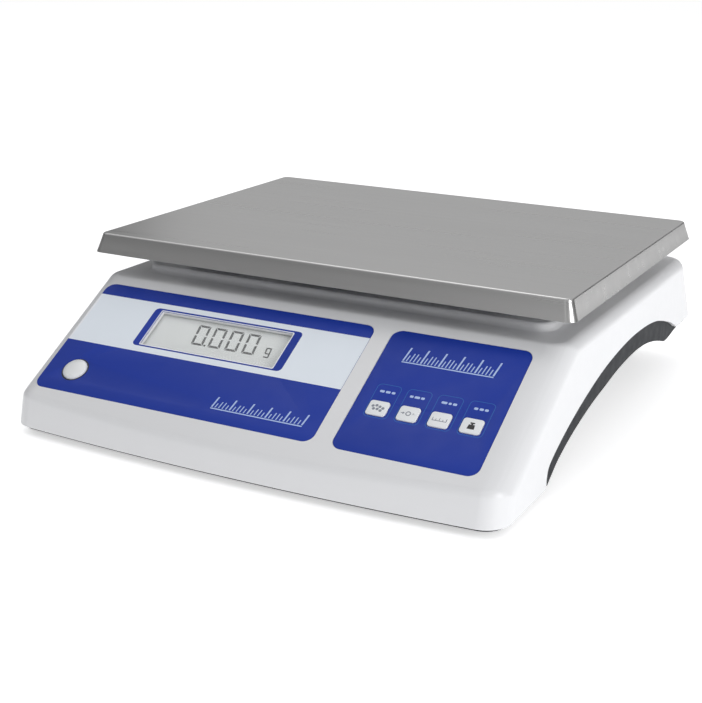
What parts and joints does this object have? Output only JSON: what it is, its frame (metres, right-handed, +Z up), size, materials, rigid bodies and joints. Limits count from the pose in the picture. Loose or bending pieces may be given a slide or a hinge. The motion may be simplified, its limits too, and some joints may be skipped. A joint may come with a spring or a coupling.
{
  "type": "counting scale",
  "caption": "Bench counting scale: steel pan on a single-point load cell, sloped console with display, power button and keys, arched two-part housing on levelling feet.",
  "frame": {"origin": "on the supporting surface, under the centre of the whole scale at rest", "axes": "+Z up, +X to the user's right, -Y towards the user and the console"},
  "size_m": [0.3072, 0.353, 0.101],
  "materials": {
    "abs_white": "satin moulded ABS",
    "abs_dark": "matt moulded ABS",
    "zinc_steel": "bright zinc plate",
    "label_blue": "satin printed polyester",
    "clear_window": "clear",
    "lcd": "satin polariser",
    "black_plastic": "matt",
    "diffuser": "milky acrylic",
    "circuit_board": "solder mask",
    "tin_shield": "tinned",
    "components": "mixed component bodies",
    "socket_nylon": "natural nylon",
    "aluminium": "machined",
    "coating_white": "silicone coating",
    "battery_case": "textured",
    "terminal_brass": "bright",
    "steel_plate": "zinc plated sheet",
    "black_steel": "black oxide",
    "support_black": "powder coat",
    "stainless": "brushed stainless, grain along X",
    "rubber": "matt rubber",
    "button_white": "satin",
    "wire_red": "PVC",
    "wire_grey": "PVC",
    "vial_liquid": "clear",
    "switch_red": "moulded"
  },
  "bodies": {
    "housing": {"upper_housing": "abs_white", "lower_housing": "abs_dark", "housing_screws": "zinc_steel", "display_label": "label_blue", "keypad_label": "label_blue", "display_window": "clear_window", "lcd_glass": "lcd", "lcd_bezel": "black_plastic", "lcd_backlight": "diffuser", "lcd_pins": "zinc_steel", "main_board": "circuit_board", "board_screws": "zinc_steel", "processor_chip": "black_plastic", "adc_shield": "tin_shield", "board_components": "components", "wire_sockets": "socket_nylon", "keypad_board": "circuit_board", "key_switches": "black_plastic", "keypad_ribbon": "socket_nylon", "power_switch": "black_plastic", "power_switch_board": "circuit_board", "load_cell": "aluminium", "gauge_cover": "coating_white", "base_plate": "steel_plate", "base_plate_screws": "zinc_steel", "lower_spacer": "aluminium", "lower_bolts": "black_steel", "stop_screw": "zinc_steel", "stop_nut": "zinc_steel", "battery": "battery_case", "battery_terminals": "terminal_brass", "battery_strap": "steel_plate", "strap_screw": "zinc_steel", "battery_leads": "wire_red", "load_cell_cable": "wire_grey", "power_leads": "wire_grey", "dc_jack": "black_plastic", "foot_inserts": "terminal_brass", "level_bezel": "black_plastic", "level_vial": "vial_liquid"},
    "pan_carrier": {"pan_support": "support_black", "upper_spacer": "aluminium", "upper_bolts": "black_steel", "pan_cushions": "rubber"},
    "pan": {"weighing_pan": "stainless"},
    "power_button": {"power_button": "button_white", "switch_plunger": "switch_red"},
    "count_key": {"count_key": "button_white"},
    "tare_key": {"tare_key": "button_white"},
    "unit_key": {"unit_key": "button_white"},
    "calibrate_key": {"calibrate_key": "button_white"},
    "foot_pad_front_left": {"foot_pad_front_left": "rubber"},
    "foot_screw_front_left": {"foot_screw_front_left": "zinc_steel"},
    "foot_pad_front_right": {"foot_pad_front_right": "rubber"},
    "foot_screw_front_right": {"foot_screw_front_right": "zinc_steel"},
    "foot_pad_rear_left": {"foot_pad_rear_left": "rubber"},
    "foot_screw_rear_left": {"foot_screw_rear_left": "zinc_steel"},
    "foot_pad_rear_right": {"foot_pad_rear_right": "rubber"},
    "foot_screw_rear_right": {"foot_screw_rear_right": "zinc_steel"}
  },
  "joints": [
    {"name": "load_cell_deflection", "type": "slide", "parent": "housing", "child": "pan_carrier", "axis": [0, 0, 1], "range_m": [-0.0004, 0], "stiffness_N_per_m": 300000, "springref_m": 0.00006, "deforming": ["load_cell"]},
    {"name": "pan_lift", "type": "slide", "parent": "pan_carrier", "child": "pan", "axis": [0, 0, 1], "range_m": [0, 0.08]},
    {"name": "power_button_press", "type": "slide", "parent": "housing", "child": "power_button", "axis": [0, -0.506, 0.8625], "range_m": [-0.0012, 0], "stiffness_N_per_m": 400, "springref_m": 0.001},
    {"name": "count_key_press", "type": "slide", "parent": "housing", "child": "count_key", "axis": [0, -0.506, 0.8625], "range_m": [-0.0004, 0], "stiffness_N_per_m": 2000, "springref_m": 0.0002},
    {"name": "tare_key_press", "type": "slide", "parent": "housing", "child": "tare_key", "axis": [0, -0.506, 0.8625], "range_m": [-0.0004, 0], "stiffness_N_per_m": 2000, "springref_m": 0.0002},
    {"name": "unit_key_press", "type": "slide", "parent": "housing", "child": "unit_key", "axis": [0, -0.506, 0.8625], "range_m": [-0.0004, 0], "stiffness_N_per_m": 2000, "springref_m": 0.0002},
    {"name": "calibrate_key_press", "type": "slide", "parent": "housing", "child": "calibrate_key", "axis": [0, -0.506, 0.8625], "range_m": [-0.0004, 0], "stiffness_N_per_m": 2000, "springref_m": 0.0002},
    {"name": "foot_height_front_left", "type": "slide", "parent": "housing", "child": "foot_pad_front_left", "axis": [0, 0, 1], "range_m": [-0.006, 0]},
    {"name": "foot_turn_front_left", "type": "hinge", "parent": "foot_pad_front_left", "child": "foot_screw_front_left", "pos_m": [-0.096, -0.142, 0.008], "axis": [0, 0, 1], "range_deg": [-1728, 0]},
    {"name": "foot_height_front_right", "type": "slide", "parent": "housing", "child": "foot_pad_front_right", "axis": [0, 0, 1], "range_m": [-0.006, 0]},
    {"name": "foot_turn_front_right", "type": "hinge", "parent": "foot_pad_front_right", "child": "foot_screw_front_right", "pos_m": [0.096, -0.142, 0.008], "axis": [0, 0, 1], "range_deg": [-1728, 0]},
    {"name": "foot_height_rear_left", "type": "slide", "parent": "housing", "child": "foot_pad_rear_left", "axis": [0, 0, 1], "range_m": [-0.006, 0]},
    {"name": "foot_turn_rear_left", "type": "hinge", "parent": "foot_pad_rear_left", "child": "foot_screw_rear_left", "pos_m": [-0.104, 0.138, 0.008], "axis": [0, 0, 1], "range_deg": [-1728, 0]},
    {"name": "foot_height_rear_right", "type": "slide", "parent": "housing", "child": "foot_pad_rear_right", "axis": [0, 0, 1], "range_m": [-0.006, 0]},
    {"name": "foot_turn_rear_right", "type": "hinge", "parent": "foot_pad_rear_right", "child": "foot_screw_rear_right", "pos_m": [0.104, 0.138, 0.008], "axis": [0, 0, 1], "range_deg": [-1728, 0]}
  ],
  "couplings": [
    {"joint": "foot_height_front_left", "follows": "foot_turn_front_left", "m_per_rad": 0.00019894},
    {"joint": "foot_height_front_right", "follows": "foot_turn_front_right", "m_per_rad": 0.00019894},
    {"joint": "foot_height_rear_left", "follows": "foot_turn_rear_left", "m_per_rad": 0.00019894},
    {"joint": "foot_height_rear_right", "follows": "foot_turn_rear_right", "m_per_rad": 0.00019894}
  ]
}
